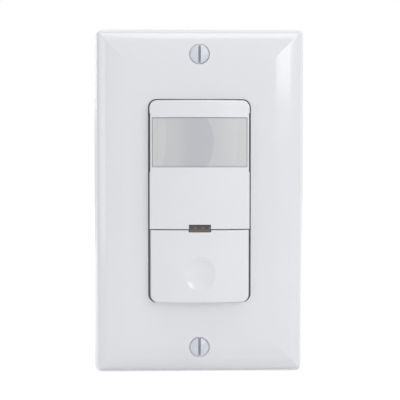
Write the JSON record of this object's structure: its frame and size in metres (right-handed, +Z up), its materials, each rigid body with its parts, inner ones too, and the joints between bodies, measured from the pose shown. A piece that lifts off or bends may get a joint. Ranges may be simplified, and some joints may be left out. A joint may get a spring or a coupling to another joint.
{
  "type": "wall switch occupancy sensor",
  "caption": "Decorator-style wall switch occupancy sensor with a curved face, a wide milky detector lens, a status window and a lower push button, in a screwed wall plate.",
  "frame": {"origin": "centre of the device on the wall plane, where the wall plate's rim ends", "axes": "+X to the right seen from the room, +Y into the wall so the front faces -Y, +Z up"},
  "size_m": [0.0698, 0.0429, 0.1142],
  "materials": {
    "plate_plastic": "smooth, slightly glossy, cool white",
    "plate_screw_paint": "white paint on steel",
    "strap_steel": "zinc plated, satin",
    "screw_steel": "zinc plated",
    "retainer_fibre": "plain fibre",
    "ground_paint": "green finish",
    "front_plastic": "satin cool white",
    "lens_plastic": "milky, with faint moulded facets",
    "frame_plastic": "plain black",
    "button_plastic": "satin cool white",
    "plunger_plastic": "plain",
    "switch_plastic": "plain black",
    "window_plastic": "smoke tinted, glossy",
    "lamp_plastic": "clear over a pale die",
    "photocell_plastic": "clear over a dark die",
    "dial_plastic": "plain light grey",
    "trimmer_plastic": "plain blue",
    "sensor_can": "bright nickel",
    "sensor_glass": "dark filter",
    "board_laminate": "green solder mask",
    "chip_plastic": "moulded black",
    "header_plastic": "moulded black",
    "relay_plastic": "moulded blue",
    "relay_base_plastic": "moulded black",
    "coil_copper": "enamelled copper wire",
    "relay_iron": "plated soft iron",
    "film_capacitor_case": "moulded yellow",
    "can_sleeve": "printed sleeve left plain, dark",
    "varistor_coat": "dipped blue",
    "resistor_coat": "flameproof grey green",
    "choke_ferrite": "dark ferrite",
    "diode_plastic": "moulded black",
    "rear_plastic": "plain satin",
    "brass_plate": "plain brass",
    "silver_plate": "nickel plated"
  },
  "bodies": {
    "sensor_body": {"wall_plate": "plate_plastic", "wall_plate_screws": "plate_screw_paint", "mounting_strap": "strap_steel", "box_mounting_screws": "screw_steel", "screw_retainers": "retainer_fibre", "ground_screw": "ground_paint", "front_housing": "front_plastic", "fresnel_lens": "lens_plastic", "lens_frame": "frame_plastic", "tact_switch_body": "switch_plastic", "status_window": "window_plastic", "status_lamps": "lamp_plastic", "photocell": "photocell_plastic", "trimmer_bodies": "trimmer_plastic", "pir_sensor": "sensor_can", "pir_window": "sensor_glass", "control_board": "board_laminate", "control_chip": "chip_plastic", "amplifier_chip": "chip_plastic", "board_header": "header_plastic", "power_board": "board_laminate", "relay_cover": "relay_plastic", "relay_base": "relay_base_plastic", "relay_coil": "coil_copper", "relay_yoke": "relay_iron", "film_capacitor": "film_capacitor_case", "filter_capacitor": "can_sleeve", "varistor": "varistor_coat", "fuse_resistor": "resistor_coat", "choke": "choke_ferrite", "rectifier_diodes": "diode_plastic", "rear_housing": "rear_plastic", "housing_screws": "screw_steel", "neutral_terminal_screw": "silver_plate", "hot_terminal_screws": "brass_plate", "line_terminal": "brass_plate", "load_terminal": "brass_plate", "neutral_terminal": "silver_plate"},
    "button": {"push_button": "button_plastic"},
    "plunger": {"button_plunger": "plunger_plastic", "tact_switch_stem": "switch_plastic"},
    "time_dial": {"time_dial": "dial_plastic"},
    "light_dial": {"light_dial": "dial_plastic"},
    "range_dial": {"range_dial": "dial_plastic"},
    "relay_armature": {"relay_armature": "relay_iron"}
  },
  "joints": [
    {"name": "push_button_pivot", "type": "hinge", "parent": "sensor_body", "child": "button", "pos_m": [0, -0.0052, -0.0126], "axis": [1, 0, 0], "range_deg": [0, 2], "stiffness_Nm_per_rad": 0.005, "springref_deg": -2.29},
    {"name": "plunger_slide", "type": "slide", "parent": "sensor_body", "child": "plunger", "axis": [0, 1, 0], "range_m": [0, 0.00031]},
    {"name": "time_dial_turn", "type": "hinge", "parent": "sensor_body", "child": "time_dial", "pos_m": [-0.0076, 0, -0.028], "axis": [0, -1, 0], "range_deg": [-110, 110]},
    {"name": "light_dial_turn", "type": "hinge", "parent": "sensor_body", "child": "light_dial", "pos_m": [0, 0, -0.028], "axis": [0, -1, 0], "range_deg": [-110, 110]},
    {"name": "range_dial_turn", "type": "hinge", "parent": "sensor_body", "child": "range_dial", "pos_m": [0.0076, 0, -0.028], "axis": [0, -1, 0], "range_deg": [-110, 110]},
    {"name": "relay_armature_pivot", "type": "hinge", "parent": "sensor_body", "child": "relay_armature", "pos_m": [-0.0065, 0.0142, 0.01875], "axis": [-1, 0, 0], "range_deg": [0, 4.5], "stiffness_Nm_per_rad": 0.001, "springref_deg": -3.44}
  ],
  "couplings": [
    {"joint": "plunger_slide", "follows": "push_button_pivot", "m_per_rad": 0.0086}
  ]
}
